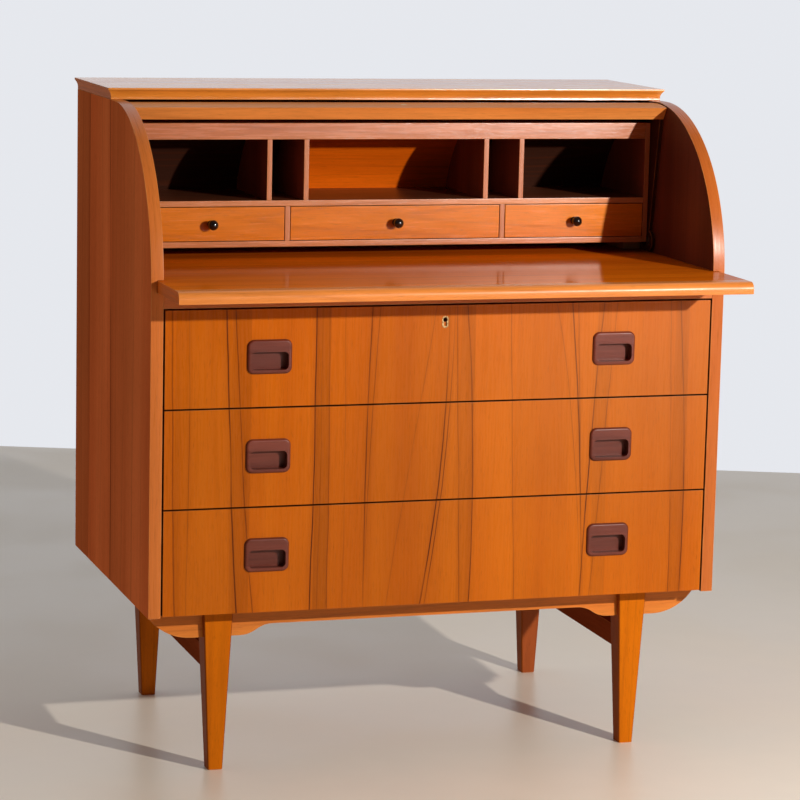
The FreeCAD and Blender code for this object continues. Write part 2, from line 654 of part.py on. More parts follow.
def drawer_lock():
    """The upper drawer's lock. Returns the cuts that it needs in the drawer's front."""
    z = "top_1 - lock_drop"
    outline = rounded("0", f"({z})", "liner_width", "liner_height", "liner_corner")
    plate = profile("liner_plate", "XZ", outline, "front", "front + liner_thick")
    round_z = f"{z} + keyhole_rise"
    through = ("front - overrun", "front + liner_thick + overrun")
    hole = rod("keyhole_round", "keyhole_radius", "0", through, round_z)
    slot = board("keyhole_slot_cut", ("-keyhole_slot/2", "keyhole_slot/2"), through,
                 (f"{round_z} - keyhole_length", round_z))
    part("keyhole_liner", cut("liner_cut", plate, hole, slot))
    recess = profile("liner_recess", "XZ", outline, "front - overrun", "front + liner_thick")
    key_bore = rod("key_bore", "keyhole_radius", "0",
                   ("front - overrun", "front_inside + overrun"), round_z)
    case_low = "lock_top - lock_height"
    case = board("lock_block", ("-lock_width/2", "lock_width/2"),
                 ("front_inside", "front_inside + lock_depth"), (case_low, "lock_top"))
    bolt_low = "lock_top - bolt_height"
    channel = board("bolt_channel", ("-bolt_width/2 - slide_gap", "bolt_width/2 + slide_gap"),
                    ("bolt_front - slide_gap", "bolt_front + bolt_thick + slide_gap"),
                    (f"{bolt_low} - slide_gap", "lock_top + overrun"))
    part("lock_case", cut("lock_case_cut", case, channel))
    part("lock_bolt", board("bolt", ("-bolt_width/2", "bolt_width/2"),
                            ("bolt_front", "bolt_front + bolt_thick"), (bolt_low, "lock_top")))
    return [recess, key_bore]


def large_drawers():
    rear = "front + box_depth"
    for number in (1, 2, 3):
        name = f"drawer_{number}"
        low, top = f"low_{number}", f"top_{number}"
        box_low = f"{low} + box_rise"
        bottom_low = f"{box_low} + box_bottom_lift"
        bottom = part(name + "_bottom", board(
            name + "_floor", ("-box_inner - box_tongue", "box_inner + box_tongue"),
            ("front_inside - box_tongue", rear), (bottom_low, f"{bottom_low} + box_bottom")))
        pulls, holes = [], []
        for side, sign in SIDES:
            x = "pull_place" if sign > 0 else "-pull_place"
            item, hole = pull(f"{name}_{side}_pull", x, f"({top} - pull_drop)")
            pulls.append(item)
            holes.append(hole)
        part(name + "_pulls", group(name + "_pull_pair", pulls))
        if number == 1:
            holes += drawer_lock()
        blank = board(name + "_blank", ("-inner + front_gap", "inner - front_gap"),
                      ("front", "front_inside"), (low, top))
        part(name + "_front", cut(name + "_front_cut", blank, bottom, *holes))
        boards = []
        for side, sign in SIDES:
            plank = board(f"{name}_{side}_plank", sided(sign, "box_inner", "box_outer"),
                          ("front_inside", rear), (box_low, f"{box_low} + box_height"))
            runner_low = f"{box_low} + runner_lift"
            groove = board(f"{name}_{side}_groove",
                           sided(sign, "inner - runner_reach - runner_play", "box_outer + overrun"),
                           ("front + runner_front - slide_gap", f"{rear} + overrun"),
                           (f"{runner_low} - slide_gap", f"{runner_low} + runner_height + slide_gap"))
            boards.append(cut(f"{name}_{side}_side", plank, groove, bottom))
        boards.append(board(name + "_end", ("-box_inner", "box_inner"), (f"{rear} - box_side", rear),
                            (f"{bottom_low} + box_bottom", f"{box_low} + box_height")))
        part(name + "_box", group(name + "_boards", boards))


def write_parts():
    """Check every object, then write one file for each sub-part."""
    for item in doc.Objects:
        if "Invalid" in item.State or "Error" in item.State:
            raise RuntimeError(f"{item.Name} failed: {item.State}")
    for item in PARTS:
        if item.Shape.isNull() or not item.Shape.isValid() or not item.Shape.Solids:
            raise RuntimeError(f"{item.Label} has no valid shape")
    os.makedirs("parts", exist_ok=True)
    for item in PARTS:
        item.Shape.exportStep(f"parts/{item.Label}.step")
    solids = sum(len(item.Shape.Solids) for item in PARTS)
    print(len(PARTS), "sub-parts,", solids, "solids")


gables()
top_board()
carcass()
leg_frame()
writing_slab()
lid()
pigeonhole_unit()
small_drawers()
large_drawers()
doc.recompute()
write_parts()
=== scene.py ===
# %% [markdown]
# # A teak cylinder desk
# The boards, drawers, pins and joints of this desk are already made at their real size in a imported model.
# This lesson dresses that model: it eases the sharp edges, turns the knobs, lays the veneer and sets the
# light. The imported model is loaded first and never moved, because every new piece takes its place from it.

# %% Load the construction
import json
import math
import bpy
from mathutils import Matrix, Vector


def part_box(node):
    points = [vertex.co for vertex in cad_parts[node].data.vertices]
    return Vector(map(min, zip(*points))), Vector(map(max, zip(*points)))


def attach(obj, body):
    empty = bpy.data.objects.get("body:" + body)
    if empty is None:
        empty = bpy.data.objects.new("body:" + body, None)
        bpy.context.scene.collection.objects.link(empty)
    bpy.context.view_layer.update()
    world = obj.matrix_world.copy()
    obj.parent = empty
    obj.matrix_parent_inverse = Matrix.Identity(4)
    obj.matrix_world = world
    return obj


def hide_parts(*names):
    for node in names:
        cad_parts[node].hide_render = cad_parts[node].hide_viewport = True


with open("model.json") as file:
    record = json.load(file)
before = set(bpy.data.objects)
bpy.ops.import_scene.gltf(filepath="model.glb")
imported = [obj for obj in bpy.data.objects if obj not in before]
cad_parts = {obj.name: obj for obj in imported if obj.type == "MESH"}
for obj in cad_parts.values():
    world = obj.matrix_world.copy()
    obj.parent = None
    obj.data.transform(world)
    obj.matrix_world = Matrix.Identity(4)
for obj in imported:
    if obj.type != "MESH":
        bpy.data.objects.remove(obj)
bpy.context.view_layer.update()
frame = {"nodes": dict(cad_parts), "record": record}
nodes = frame["nodes"]
body_of = {node: body for body, held in frame["record"]["behaviour"]["bodies"].items() for node in held}
MM = 0.001

# %% [markdown]
# ## Camera
# The desk was photographed from the left and from a little above, with a long lens a few metres away.
# A camera can be aimed by a constraint or by its own axes. Here its axes are built from a heading, a dip
# and a slight tilt, because those three angles and the distance are what the edges of a photograph give.

# %% Camera
IMAGE_SIDE = 800
FOCAL_PIXELS = 3041.8
SENSOR = 36.0
HEADING, DIP, TILT = 0.3112, -0.1635, 0.0229
CAMERA_PLACE = (-1.4397, -4.4622, 1.3056)


def camera_axes(heading, dip, tilt):
    """Right, up and backward directions of a camera that looks along +Y when all angles are zero."""
    ahead = Vector((math.sin(heading) * math.cos(dip), math.cos(heading) * math.cos(dip), math.sin(dip)))
    level = Vector((math.cos(heading), -math.sin(heading), 0))
    over = level.cross(ahead)
    right = level * math.cos(tilt) + over * math.sin(tilt)
    up = over * math.cos(tilt) - level * math.sin(tilt)
    return right, up, -ahead


bpy.ops.object.camera_add(location=CAMERA_PLACE)
camera = bpy.context.active_object
camera.rotation_euler = Matrix(camera_axes(HEADING, DIP, TILT)).transposed().to_euler()
camera.data.sensor_width = SENSOR
camera.data.lens = FOCAL_PIXELS * SENSOR / IMAGE_SIDE
bpy.context.scene.camera = camera
print("lens", round(camera.data.lens, 1), "mm")

# %% [markdown]
# ## Building shader nodes
# Every finish below is a small tree of nodes. Wiring them by hand in code is wordy, so a few helpers do it:
# one makes an empty material with its surface shader, and the others add a node and plug in what they are
# given. A socket is linked, and any other value is set as the socket's own number or colour.

# %% Node helpers
SCREEN_STEPS = 255
SCREEN_KNEE, SCREEN_SLOPE = 0.04045, 12.92
SCREEN_SHIFT, SCREEN_POWER = 0.055, 2.4


def add(tree, kind, plugs=None, **settings):
    """A new node with its settings made and its inputs plugged in."""
    node = tree.nodes.new(kind)
    for name, setting in settings.items():
        setattr(node, name, setting)
    for socket, plug in (plugs or {}).items():
        if isinstance(plug, bpy.types.NodeSocket):
            tree.links.new(plug, node.inputs[socket])
        else:
            node.inputs[socket].default_value = plug
    return node


def math_node(tree, operation, *values):
    """The result of a sum on plain numbers or sockets."""
    return add(tree, "ShaderNodeMath", dict(enumerate(values)), operation=operation).outputs[0]


def times(tree, first, second):
    """Two numbers or sockets multiplied."""
    return math_node(tree, "MULTIPLY", first, second)


def fade(tree, value, low, high, to_low=0.0, to_high=1.0):
    """A smooth step: value going from low to high gives to_low to to_high."""
    plugs = {"Value": value, "From Min": low, "From Max": high, "To Min": to_low, "To Max": to_high}
    return add(tree, "ShaderNodeMapRange", plugs, interpolation_type="SMOOTHSTEP").outputs[0]


def noise(tree, vector, scale, detail=2.0, roughness=0.5):
    """A soft cloud of values about one half."""
    plugs = {"Vector": vector, "Scale": scale, "Detail": detail, "Roughness": roughness}
    return add(tree, "ShaderNodeTexNoise", plugs).outputs["Fac"]


def stretched(tree, vector, scale):
    """Coordinates multiplied axis by axis: a small number draws a pattern out along that axis."""
    return add(tree, "ShaderNodeVectorMath", {0: vector, 1: scale}, operation="MULTIPLY").outputs[0]


def apart(tree, vector):
    """The X, Y and Z of a place or a direction."""
    return add(tree, "ShaderNodeSeparateXYZ", {0: vector}).outputs


def blend(tree, amount, first, second, mode="MIX"):
    """Two colours mixed by an amount."""
    node = add(tree, "ShaderNodeMix", data_type="RGBA", blend_type=mode)
    for socket, plug in (("Factor_Float", amount), ("A_Color", first), ("B_Color", second)):
        target = next(item for item in node.inputs if item.identifier == socket)
        if isinstance(plug, bpy.types.NodeSocket):
            tree.links.new(plug, target)
        else:
            target.default_value = plug
    return next(item for item in node.outputs if item.identifier == "Result_Color")


def new_finish(name):
    """An empty material: its tree, its surface shader and the piece's own coordinates."""
    material = bpy.data.materials.new(name)
    material.use_nodes = True
    tree = material.node_tree
    tree.nodes.clear()
    shader = add(tree, "ShaderNodeBsdfPrincipled")
    output = add(tree, "ShaderNodeOutputMaterial")
    tree.links.new(shader.outputs[0], output.inputs["Surface"])
    place = add(tree, "ShaderNodeTexCoord").outputs["Object"]
    return material, tree, shader, place


def relief(tree, shader, height, strength, reach):
    """Give a surface a fine relief."""
    bump = add(tree, "ShaderNodeBump", {"Height": height, "Strength": strength, "Distance": reach})
    tree.links.new(bump.outputs[0], shader.inputs["Normal"])


def surface_of(material):
    """The sockets of a finished material's surface shader."""
    return next(node for node in material.node_tree.nodes if node.type == "BSDF_PRINCIPLED").inputs


def paint(red, green, blue):
    """A colour given as it looks on a screen, 0 to 255, turned into the light that shaders count in."""
    def linear(part):
        share = part / SCREEN_STEPS
        if share <= SCREEN_KNEE:
            return share / SCREEN_SLOPE
        return ((share + SCREEN_SHIFT) / (1 + SCREEN_SHIFT)) ** SCREEN_POWER
    return (linear(red), linear(green), linear(blue), 1.0)


print("a screen's middle grey is", round(paint(128, 128, 128)[0], 3), "of white")

# %% [markdown]
# ## Teak
# Teak is a warm orange-brown wood with long straight fibres, soft broad stripes and thin darker growth
# lines. A picture of wood would stretch round corners, so the grain is worked out from each point's own
# place: clouds of noise are drawn out along the grain until they become fibres. Four helpers make the
# figure, the tone, the knots and the relief, and every teak in the desk is put together from them.

# %% Teak figure
# A noise is its scale, detail and roughness. A span is where a fade over it starts and ends.
GRAIN_ALONG = {"X": (0.045, 1, 1), "Y": (1, 0.045, 1), "Z": (1, 1, 0.045), "edge": (1, 0.03, 0.03),
               "level": (0.045, 0.045, 1)}
DRIFT_SCALE, WANDER = 5.0, 0.014
STRIPE_NOISE, STRIPE_SPAN = (11.0, 3.0, 0.55), (0.30, 0.70)
RING_NOISE, LINES_PER_STRIPE, LINE_WIDTH = (17.0, 1.0, 0.4), 7.0, 0.16
FIBRE_NOISE = (330.0, 3.0, 0.6)
PORE_NOISE, PORE_SPAN, PORE_TONE = (1300.0, 1.0, 0.5), (0.60, 0.72), 0.80
FIBRE_SPAN = (0.2, 0.8)
SLOW_NOISE, SLOW_SPAN, SLOW_TONES = (3.2, 2.0, 0.5), (0.3, 0.7), (0.94, 1.06)
# The rub colour also paints a highlight along the drawer fronts' upper arris.
RUB_NOISE, RUB_SPAN, RUB_SHARES, RUB_AND_HIGHLIGHT = (26.0, 3.0), (0.35, 0.7), (0.08, 0.5), paint(226, 150, 84)
KNOT_STRETCH, KNOT_CELLS, KNOT_SPAN, KNOT_DARK = (1, 1, 0.4), 30.0, (0.05, 0.15), 0.85
KNOT_NOISE, KNOT_CHOICE = (17.0, 0.0), (0.52, 0.58)
GLOSS_SPAN, GLOSS_DOWN, GLOSS_UP = (0.25, 0.75), 0.05, 0.07
FIBRE_SHARE, RELIEF_STRENGTH, RELIEF_HEIGHT = 0.6, 0.10, 0.0004


def teak_parts(tree, place, grain, wander=WANDER):
    """Broad stripes, growth lines, fibres and pores of a board whose grain runs along an axis."""
    along = stretched(tree, place, GRAIN_ALONG[grain])
    drift = add(tree, "ShaderNodeTexNoise", {"Vector": along, "Scale": DRIFT_SCALE})
    centred = add(tree, "ShaderNodeVectorMath", {0: drift.outputs["Color"], 1: (0.5, 0.5, 0.5)},
                  operation="SUBTRACT").outputs[0]
    swayed = add(tree, "ShaderNodeVectorMath", {0: centred, 1: (wander, wander, wander), 2: place},
                 operation="MULTIPLY_ADD").outputs[0]
    drawn = stretched(tree, swayed, GRAIN_ALONG[grain])
    stripes = noise(tree, drawn, *STRIPE_NOISE)
    rings = noise(tree, drawn, *RING_NOISE)
    folded = math_node(tree, "PINGPONG", times(tree, rings, LINES_PER_STRIPE), 0.5)
    lines = fade(tree, folded, 0.0, LINE_WIDTH, 1.0, 0.0)
    fibres = noise(tree, drawn, *FIBRE_NOISE)
    pores = fade(tree, noise(tree, drawn, *PORE_NOISE), *PORE_SPAN)
    return stripes, lines, fibres, pores


def shaded(tree, colour, fibres, pores, place, lines, line_colour, line_depth, fibre_depth):
    """A base colour with its growth lines, fibres, pores, slow changes of tone, wear on eased edges and a
    painted highlight along the drawer fronts' upper arris.
    """
    colour = blend(tree, times(tree, lines, line_depth), colour, line_colour)
    fibre_tone = fade(tree, fibres, *FIBRE_SPAN, 1 - fibre_depth, 1 + fibre_depth)
    slow = fade(tree, noise(tree, place, *SLOW_NOISE), *SLOW_SPAN, *SLOW_TONES)
    tone = times(tree, fibre_tone, slow)
    tone = times(tree, tone, fade(tree, pores, 0.0, 1.0, 1.0, PORE_TONE))
    grey = add(tree, "ShaderNodeCombineColor", {"Red": tone, "Green": tone, "Blue": tone}).outputs[0]
    colour = blend(tree, 1.0, colour, grey, "MULTIPLY")
    # The worn mark lightens wear on the eased rounds, and on the drawer fronts' upper arris it paints a
    # highlight.
    worn = add(tree, "ShaderNodeAttribute", attribute_name="worn").outputs["Fac"]
    rub_and_highlight = times(tree, worn, fade(tree, noise(tree, place, *RUB_NOISE), *RUB_SPAN, *RUB_SHARES))
    return blend(tree, rub_and_highlight, colour, RUB_AND_HIGHLIGHT)


def knotted(tree, place, colour, knot_colour):
    """Scatter a few small dark knots, drawn out upright, over a colour."""
    cells = add(tree, "ShaderNodeTexVoronoi",
                {"Vector": stretched(tree, place, KNOT_STRETCH), "Scale": KNOT_CELLS})
    spots = fade(tree, cells.outputs["Distance"], *KNOT_SPAN, KNOT_DARK, 0.0)
    chosen = fade(tree, noise(tree, place, *KNOT_NOISE), *KNOT_CHOICE)
    return blend(tree, times(tree, spots, chosen), colour, knot_colour)


def finish_wood(tree, shader, colour, fibres, pores, gloss, sheen):
    """Plug a wood colour into its shader with the sheen and the fine relief of an oiled board."""
    rough = fade(tree, fibres, *GLOSS_SPAN, gloss - GLOSS_DOWN, gloss + GLOSS_UP)
    height = math_node(tree, "SUBTRACT", times(tree, fibres, FIBRE_SHARE), pores)
    tree.links.new(colour, shader.inputs["Base Color"])
    tree.links.new(rough, shader.inputs["Roughness"])
    relief(tree, shader, height, RELIEF_STRENGTH, RELIEF_HEIGHT)
    shader.inputs["Specular IOR Level"].default_value = sheen


print("grain along", ", ".join(GRAIN_ALONG))

# %% [markdown]
# ## Plain teaks
# Solid boards differ only in a few things: the way the grain runs, a dark and a light tone, the colour of
# the growth lines, how rough the lacquer is and how much it shines. So one function makes every plain teak,
# and a table of the desk's woods gives it those values. Several of those woods are painted darker as painted
# shade: the legs' sides, the rear right leg, the stretchers, the pigeonhole boards behind their front edges
# and the edges of the drawer fronts. The back of the pigeonholes is the one board that is bright in the
# middle and darkened at the sides as painted shade.

# %% Plain teaks
LINE = paint(110, 44, 12)
LINE_DEPTH, FIBRE_DEPTH = 0.16, 0.09
GLOSS, SHEEN = 0.42, 0.3
SOFT_EDGE = 0.004


def teak(name, grain, dark, light, line=LINE, gloss=GLOSS, sheen=SHEEN, line_depth=LINE_DEPTH,
         fibre_depth=FIBRE_DEPTH, wander=WANDER, knots=False):
    """A teak finish from a dark, a light and a growth-line colour."""
    material, tree, shader, place = new_finish(name)
    stripes, lines, fibres, pores = teak_parts(tree, place, grain, wander)
    colour = blend(tree, fade(tree, stripes, *STRIPE_SPAN), dark, light)
    colour = shaded(tree, colour, fibres, pores, place, lines, line, line_depth, fibre_depth)
    if knots:
        colour = knotted(tree, place, colour, line)
    finish_wood(tree, shader, colour, fibres, pores, gloss, sheen)
    return material


def teak_shaded_at_sides(name, dark, light, dim, reach, gloss, sheen):
    """Level-grained teak, bright in the middle of the desk and darkened beyond a reach to either side as
    painted shade.
    """
    material, tree, shader, place = new_finish(name)
    stripes, lines, fibres, pores = teak_parts(tree, place, "X")
    colour = blend(tree, fade(tree, stripes, *STRIPE_SPAN), dark, light)
    away = math_node(tree, "ABSOLUTE", apart(tree, place)["X"])
    # Painted shade: the back is darkened beyond the reach, where the side pigeonholes lie in shadow.
    colour = blend(tree, fade(tree, away, reach - SOFT_EDGE, reach + SOFT_EDGE), colour, dim)
    colour = shaded(tree, colour, fibres, pores, place, lines, LINE, LINE_DEPTH, FIBRE_DEPTH)
    finish_wood(tree, shader, colour, fibres, pores, gloss, sheen)
    return material


POST = {"line_depth": 0.14, "fibre_depth": 0.06, "wander": 0.03}
# The back of the pigeonholes, with painted shade on its two sides.
UNIT_BACK = teak_shaded_at_sides("unit_back_teak", paint(204, 84, 2), paint(228, 102, 6), dim=paint(58, 30, 20),
                      reach=0.147, gloss=0.45, sheen=0.1)
WOODS = {
    "top": teak("top_teak", "X", paint(212, 114, 34), paint(240, 152, 56), gloss=0.20, sheen=0.6),
    "slab": teak("slab_teak", "X", paint(204, 94, 6), paint(226, 114, 16),
                 gloss=0.30, sheen=0.0, line_depth=0.12),
    "nosing": teak("nosing_teak", "X", paint(198, 104, 36), paint(226, 134, 58),
                   gloss=0.32, sheen=0.35, line_depth=0.14),
    "rail": teak("rail_teak", "X", paint(176, 90, 34), paint(208, 118, 52)),
    "slab_end": teak("slab_end_teak", "Y", paint(210, 98, 28), paint(232, 120, 44), paint(128, 56, 20),
                     gloss=0.55, sheen=0.03),
    "end": teak("end_grain_teak", "Y", paint(200, 114, 76), paint(224, 136, 92), paint(130, 64, 36),
                gloss=0.55, sheen=0.03),
    "edge": teak("gable_edge_teak", "edge", paint(182, 92, 34), paint(204, 114, 48),
                 gloss=0.30, sheen=0.22, line_depth=0.08, fibre_depth=0.06),
    "leg": teak("leg_teak", "Z", paint(190, 94, 2), paint(208, 110, 6), paint(96, 40, 8),
                sheen=0.06, knots=True, **POST),
    # Painted shade: the rear right leg, which stands in the shadow of the case.
    "rear_leg_shade": teak("dark_leg_teak", "Z", paint(140, 64, 26), paint(166, 82, 38), paint(80, 32, 12),
                     sheen=0.1, **POST),
    # Painted shade: the sides of the legs.
    "leg_side_shade": teak("leg_side_teak", "Z", paint(136, 62, 16), paint(154, 76, 22), paint(80, 32, 8),
                     gloss=0.45, sheen=0.05, **POST),
    "apron": teak("apron_teak", "X", paint(204, 110, 36), paint(230, 144, 60),
                  sheen=0.2, line_depth=0.18, wander=0.03),
    # Painted shade: the stretchers are darker than the legs, where they lie under the case.
    "stretcher": teak("stretcher_teak", "Y", paint(122, 54, 26), paint(148, 68, 36), gloss=0.50, sheen=0.0),
    "lid_rail": teak("lid_rail_teak", "X", paint(206, 114, 44), paint(236, 150, 74), gloss=0.40, sheen=0.12),
    "lid": teak("lid_teak", "edge", paint(170, 80, 26), paint(204, 108, 42), gloss=0.38, sheen=0.25),
    "cheek": teak("cheek_teak", "Z", paint(52, 22, 14), paint(76, 34, 20), paint(30, 12, 8),
                  gloss=0.5, sheen=0.1),
    "unit": teak("unit_teak", "X", paint(186, 104, 54), paint(218, 136, 82), gloss=0.25, sheen=0.7),
    "upright": teak("upright_teak", "Z", paint(180, 98, 54), paint(208, 128, 80), gloss=0.30, sheen=0.5),
    # Painted shade: the pigeonhole uprights' faces behind their front edges.
    "inside": teak("inside_shade_teak", "Z", paint(126, 66, 46), paint(156, 88, 62), paint(80, 40, 28),
                   gloss=0.45, sheen=0.15),
    # Painted shade: the shelf's faces behind its front edge.
    "shelf": teak("shelf_shade_teak", "X", paint(92, 48, 28), paint(118, 66, 40), paint(60, 30, 18), gloss=0.34),
    "small_front": teak("small_front_teak", "X", paint(206, 102, 4), paint(230, 127, 16),
                        gloss=0.22, sheen=0.45),
    # Painted shade: the dark wood of the drawer fronts' edges in the gaps.
    "front_edge_shade": teak("front_edge_teak", "X", paint(96, 44, 16), paint(124, 60, 24), paint(60, 26, 10),
                       gloss=0.5, sheen=0.1),
    "drawer_box": teak("drawer_box_wood", "level", paint(186, 140, 92), paint(212, 170, 118),
                       paint(150, 104, 62), gloss=0.55, sheen=0.1, line_depth=0.2),
    "ply": teak("ply_wood", "X", paint(176, 128, 82), paint(204, 158, 106), paint(140, 96, 58),
                gloss=0.6, sheen=0.1, line_depth=0.25),
    "back": teak("back_teak", "Z", paint(128, 64, 30), paint(164, 90, 46), paint(84, 40, 18),
                 gloss=0.55, sheen=0.1, line_depth=0.25),
    "pull": teak("pull_wood", "X", paint(92, 38, 26), paint(120, 56, 40), paint(62, 24, 16),
                 gloss=0.36, line_depth=0.2, fibre_depth=0.14),
}
print(len(WOODS), "plain woods")

# %% [markdown]
# ## Upright veneer
# The drawer fronts and the gables are faced with veneer: thin leaves of teak laid side by side with their
# grain upright. Each leaf has its own tone, and dark mineral streaks run up through all three drawers,
# leaning and bowing a little. Noise alone never puts a streak where the eye expects it, so each streak is a
# gentle curve with a chosen place at the top, the middle and the foot of the front. The fronts are painted
# paler and pinker towards the upper right, as a painted reflection of the window's glare.

# %% Veneer leaves and streaks
# A leaf is its start in millimetres and its tone. A streak is its place in millimetres at the top, the
# middle and the foot, its width and its depth. Some have a share by which they weaken towards the foot, or
# towards the top where the share is negative.
FRONT_LEAVES = (
    (-431, 1.10), (-416, 0.96), (-329, 0.85), (-301, 1.03), (-200, 0.80), (-177, 1.02), (-119, 0.95),
    (24, 0.88), (48, 1.08), (113, 1.00), (201, 1.05), (241, 0.88), (264, 1.02), (373, 0.88), (394, 1.07),
)
FRONT_STREAKS = (
    (-418, -415, -410, 3.0, 0.50), (-392, -391, -393, 1.6, 0.55), (-337, -328, -316, 3.0, 0.80),
    (-323, -310, -291, 2.2, 0.65), (-198, -200, -203, 2.6, 0.85), (-189, -190, -192, 1.4, 0.35),
    (-179, -177, -177, 1.6, 0.50), (-155, -153, -153, 1.4, 0.35), (-113, -120, -120, 2.6, 0.80, 0.55),
    (-101, -114, -121, 1.6, 0.60, 0.60), (-13, -50, -84, 1.4, 0.45, 0.30), (7, -1, -31, 2.8, 0.90, -0.75),
    (16, 5, -24, 2.0, 0.75, -0.75), (19, 26, 33, 1.8, 0.55), (36, 49, 48, 2.4, 0.75),
    (103, 112, 120, 1.8, 0.50), (177, 213, 227, 1.4, 0.50, 0.50), (201, 222, 230, 2.8, 0.85, 0.55),
    (211, 223, 233, 1.8, 0.60, 0.55), (254, 240, 227, 2.8, 0.90, -0.25), (276, 261, 243, 1.6, 0.55, 0.30),
    (364, 371, 375, 1.6, 0.55), (380, 393, 393, 2.4, 0.75),
)
GABLE_LEAVES = ((0, 1.0), (113, 0.93), (268, 1.12), (425, 0.80))
GABLE_STREAKS = (
    (113, 113, 116, 2.4, 0.35), (282, 270, 262, 5.0, 0.75), (430, 428, 412, 3.0, 0.45),
    (55, 60, 52, 1.6, 0.25), (186, 178, 190, 1.6, 0.25), (340, 332, 345, 1.6, 0.25),
    (480, 488, 478, 1.8, 0.30), (228, 236, 226, 1.4, 0.25),
)
print("leaves", len(FRONT_LEAVES), "on the fronts and", len(GABLE_LEAVES), "on a gable")

# %% [markdown]
# ## Drawing the streaks
# All streaks share one rule, so the rule is built once as a node group and used for each of them: how far a
# point is from the curve, counted in widths of the streak, gives a dark core and a wide faint halo. A slow
# noise then breaks the streaks up, because the mineral runs thin in places.

# %% Streaks and leaves
CORE_SPAN, HALO_SPAN, HALO_SHADE = (0.3, 1.0), (0.0, 8.0), 0.17
STREAK_THIN = 0.55
PATCH_STRETCH, PATCH_NOISE = (30, 30, 5), (1.0, 1.0)
PATCH_SPAN, PATCH_SHARES = (0.30, 0.55), (0.65, 1.1)
LAST_LEAF = 120


def streak_tool():
    """A node group that darkens a thin curved line, which may grow weaker towards its top or its foot."""
    tool = bpy.data.node_groups.new("veneer_streak", "ShaderNodeTree")
    for name in ("Across", "Rise", "Place", "Lean", "Bow", "Width", "Depth", "Change"):
        tool.interface.new_socket(name, in_out="INPUT", socket_type="NodeSocketFloat")
    tool.interface.new_socket("Shade", in_out="OUTPUT", socket_type="NodeSocketFloat")
    given = add(tool, "NodeGroupInput").outputs
    leaned = math_node(tool, "MULTIPLY_ADD", given["Lean"], given["Rise"], given["Place"])
    squared = times(tool, given["Rise"], given["Rise"])
    centre = math_node(tool, "MULTIPLY_ADD", given["Bow"], squared, leaned)
    away = math_node(tool, "ABSOLUTE", math_node(tool, "SUBTRACT", given["Across"], centre))
    widths = math_node(tool, "DIVIDE", away, given["Width"])
    core = fade(tool, widths, *CORE_SPAN, 1.0, 0.0)
    halo = fade(tool, widths, *HALO_SPAN, HALO_SHADE, 0.0)
    both = times(tool, math_node(tool, "MAXIMUM", core, halo), given["Depth"])
    changed = math_node(tool, "MULTIPLY_ADD", given["Change"], given["Rise"], 1.0)
    held = math_node(tool, "MINIMUM", changed, 1.0)
    add(tool, "NodeGroupOutput", {"Shade": times(tool, both, held)})
    return tool


STREAK = streak_tool()


def all_streaks(tree, place, across, rise, streaks):
    """The darkest streak at each point, broken up where the mineral runs thin."""
    shade = 0.0
    for head, middle, tail, width, depth, *change in streaks:
        curve = {"Across": across, "Rise": rise, "Place": middle * MM, "Lean": (head - tail) / 2 * MM,
                 "Bow": ((head + tail) / 2 - middle) * MM, "Width": width * MM * STREAK_THIN,
                 "Depth": depth, "Change": change[0] if change else 0.0}
        node = add(tree, "ShaderNodeGroup", curve, node_tree=STREAK)
        shade = math_node(tree, "MAXIMUM", shade, node.outputs[0])
    cloud = noise(tree, stretched(tree, place, PATCH_STRETCH), *PATCH_NOISE)
    return times(tree, shade, fade(tree, cloud, *PATCH_SPAN, *PATCH_SHARES))


def leaf_tones(tree, across, leaves):
    """The tone of the leaf at each point. A ramp of hard steps holds half of it, so it is added twice."""
    low, high = leaves[0][0] * MM, (leaves[-1][0] + LAST_LEAF) * MM
    spread = add(tree, "ShaderNodeMapRange", {"Value": across, "From Min": low, "From Max": high})
    ramp = add(tree, "ShaderNodeValToRGB", {"Fac": spread.outputs[0]})
    ramp.color_ramp.interpolation = "CONSTANT"
    stops = ramp.color_ramp.elements
    stops.remove(stops[1])
    for index, (start, tone) in enumerate(leaves):
        stop = stops[0] if index == 0 else stops.new((start * MM - low) / (high - low))
        stop.color = (tone / 2, tone / 2, tone / 2, 1)
    half = ramp.outputs["Color"]
    return blend(tree, 1.0, half, half, "ADD")


print("a streak is drawn by", len(STREAK.nodes), "nodes")

# %% [markdown]
# ## Laying the veneer
# A veneer is teak with its leaves and streaks laid over it. The joints between leaves waver by a few
# millimetres. The gables have one veneer outside and one painted darker inside as painted shade, with the
# same leaves.

# %% Veneer
WAVER_STRETCH, WAVER_NOISE, WAVER_REACH = (1, 1, 0.35), (14.0, 2.0), 0.007
VENEER_LINE_DEPTH, VENEER_FIBRE_DEPTH = 0.04, 0.022
# The glare tint is a painted reflection: the drawer fronts turn paler and pinker towards the upper right.
STREAK_DARK, WINDOW_GLARE = paint(72, 16, 0), paint(186, 120, 76)
GLARE_ACROSS = (-0.30, 0.45)


